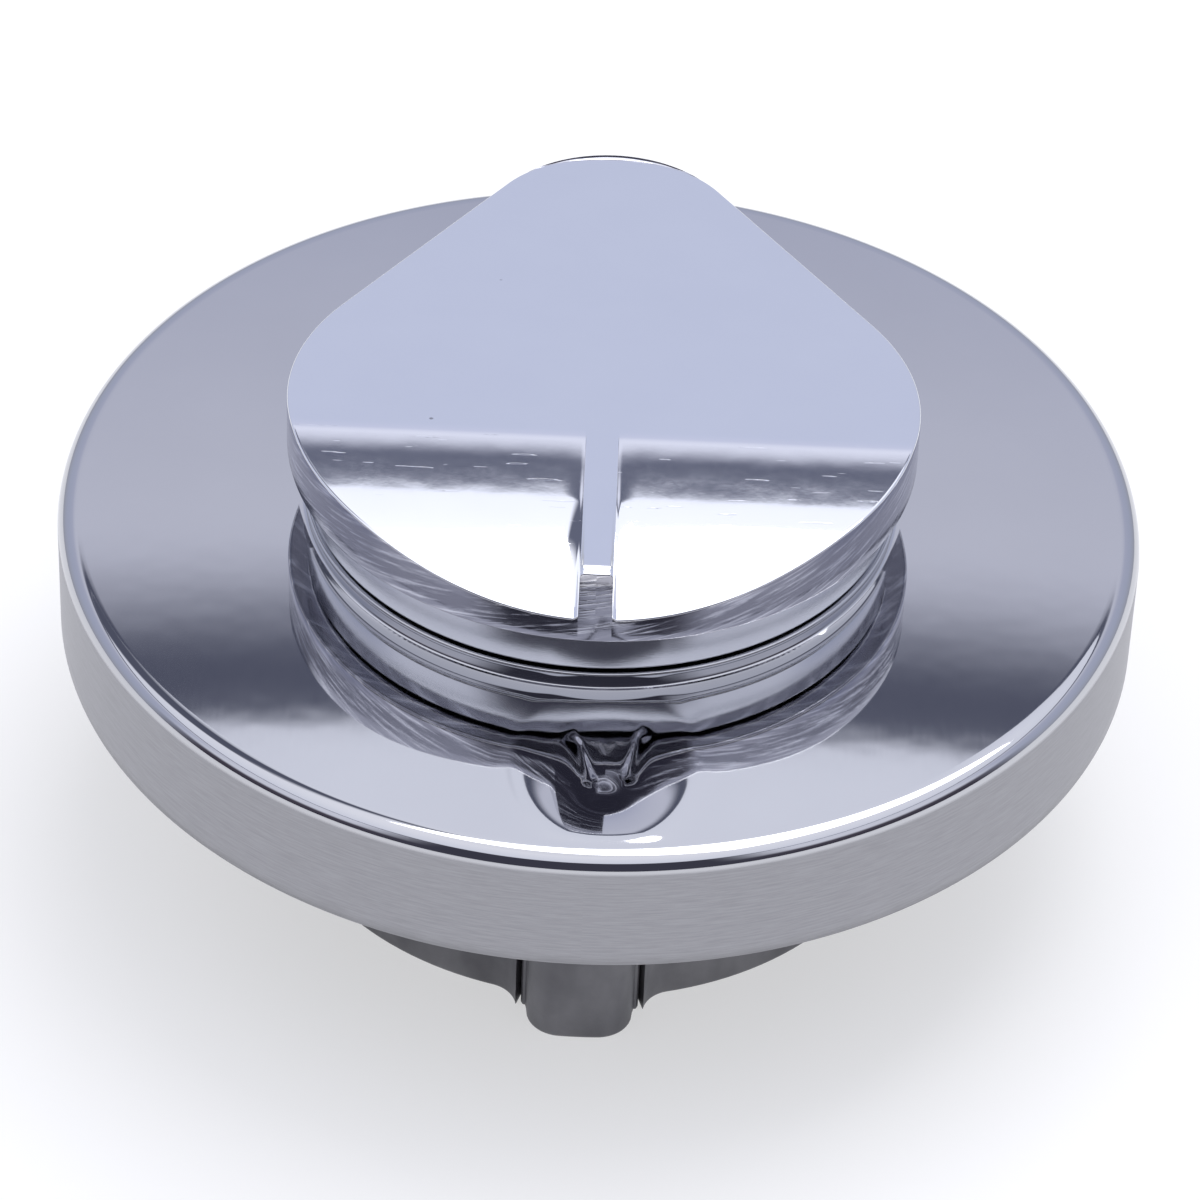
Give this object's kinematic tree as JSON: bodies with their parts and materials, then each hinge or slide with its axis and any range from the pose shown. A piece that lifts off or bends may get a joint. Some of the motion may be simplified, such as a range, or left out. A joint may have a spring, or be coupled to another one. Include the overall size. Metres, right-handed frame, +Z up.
{
  "type": "locking filler cap",
  "caption": "Round locking tank filler cap: bright metal shell, swing-aside key cover with a thumb rib, and a cast body with locating lugs, latch bolts and a wafer lock.",
  "frame": {"origin": "on the cap's axis, in the plane of the cast body's foot", "axes": "+Z up along the cap's axis; -Y towards the front: the rib, the V mark and the front lug"},
  "size_m": [0.1, 0.1, 0.0507],
  "materials": {
    "stainless": "pressed stainless, satin-bright top and brushed skirt",
    "chrome": "bright plated zinc die casting",
    "cast_alloy": "dark, dull as-cast skin",
    "zinc_plated": "zinc plated steel",
    "brass": "machined",
    "nitrile": "matte black",
    "nylon": "natural",
    "felt": "sintered filter pad"
  },
  "bodies": {
    "cap_body": {"cap_shell": "stainless", "lock_collar": "chrome", "lock_housing": "chrome", "lock_nut": "zinc_plated", "inner_body": "cast_alloy", "neck_gasket": "nitrile", "foot_cover": "zinc_plated", "foot_screw_1": "zinc_plated", "foot_screw_2": "zinc_plated", "foot_screw_3": "zinc_plated", "foot_screw_4": "zinc_plated", "shell_stud_1": "zinc_plated", "stud_washer_1": "zinc_plated", "stud_nut_1": "zinc_plated", "shell_stud_2": "zinc_plated", "stud_washer_2": "zinc_plated", "stud_nut_2": "zinc_plated", "cover_pivot_pin": "zinc_plated", "pivot_bush": "nylon", "pivot_retaining_clip": "zinc_plated", "pivot_spring_washer": "zinc_plated", "breather_cage": "brass", "breather_spring": "stainless", "breather_filter": "felt"},
    "key_cover": {"key_cover": "chrome"},
    "lock_plug": {"lock_plug": "brass", "plug_o_ring": "nitrile", "wafer_1": "brass", "wafer_2": "brass", "wafer_3": "brass", "wafer_4": "brass", "wafer_5": "brass", "plug_retaining_ring": "zinc_plated", "bolt_cam": "zinc_plated", "cam_lock_washer": "zinc_plated", "cam_screw": "zinc_plated"},
    "right_bolt": {"latch_bolt_right": "zinc_plated", "bolt_pin_right": "zinc_plated"},
    "left_bolt": {"latch_bolt_left": "zinc_plated", "bolt_pin_left": "zinc_plated"},
    "breather_disc": {"breather_disc": "nitrile"}
  },
  "joints": [
    {"name": "cover_swing", "type": "hinge", "parent": "cap_body", "child": "key_cover", "pos_m": [0, 0.0345, 0.04], "axis": [0, 0, 1], "range_deg": [-110, 110]},
    {"name": "plug_turn", "type": "hinge", "parent": "cap_body", "child": "lock_plug", "pos_m": [0, 0, 0.03], "axis": [0, 0, 1], "range_deg": [0, 90]},
    {"name": "right_bolt_slide", "type": "slide", "parent": "cap_body", "child": "right_bolt", "axis": [-1, 0, 0], "range_m": [0, 0.00561]},
    {"name": "left_bolt_slide", "type": "slide", "parent": "cap_body", "child": "left_bolt", "axis": [1, 0, 0], "range_m": [0, 0.00561]},
    {"name": "breather_lift", "type": "slide", "parent": "cap_body", "child": "breather_disc", "axis": [0, 0, 1], "range_m": [0, 0.001], "stiffness_N_per_m": 200, "springref_m": -0.001, "deforming": ["breather_spring"]}
  ],
  "couplings": [
    {"joint": "right_bolt_slide", "follows": "plug_turn", "m_per_rad": 0.0035651},
    {"joint": "left_bolt_slide", "follows": "plug_turn", "m_per_rad": 0.0035651}
  ]
}
